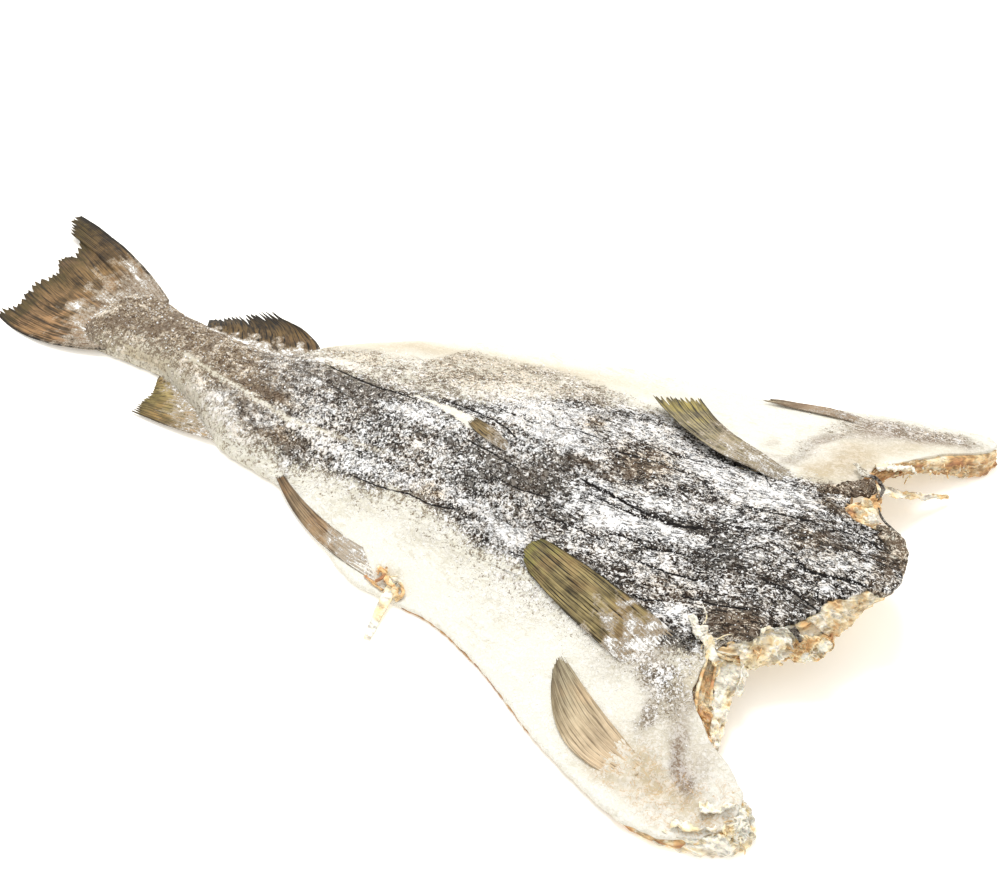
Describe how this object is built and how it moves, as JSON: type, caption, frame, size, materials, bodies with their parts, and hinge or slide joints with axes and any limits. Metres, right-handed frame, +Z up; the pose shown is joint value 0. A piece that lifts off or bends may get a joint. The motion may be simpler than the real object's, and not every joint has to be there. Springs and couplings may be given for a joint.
{
  "type": "salted dried cod",
  "caption": "Whole salted dried cod, headless, split open flat and laid skin side up, with its fins and tail on; food.",
  "frame": {"origin": "centre of the footprint, on the surface that the fish lies on", "axes": "+X along the fish from the tail fin to the neck, +Y to its left flank, +Z up, out of the skin of the back"},
  "size_m": [0.72, 0.38, 0.0477],
  "materials": {
    "salted_skin": "matt, crusted with salt",
    "salted_flesh": "matt, fibrous",
    "fin_ray": "satin, ribbed",
    "salt": "matt grains"
  },
  "bodies": {
    "root": {"dried_cod": "salted_skin"}
  },
  "joints": []
}
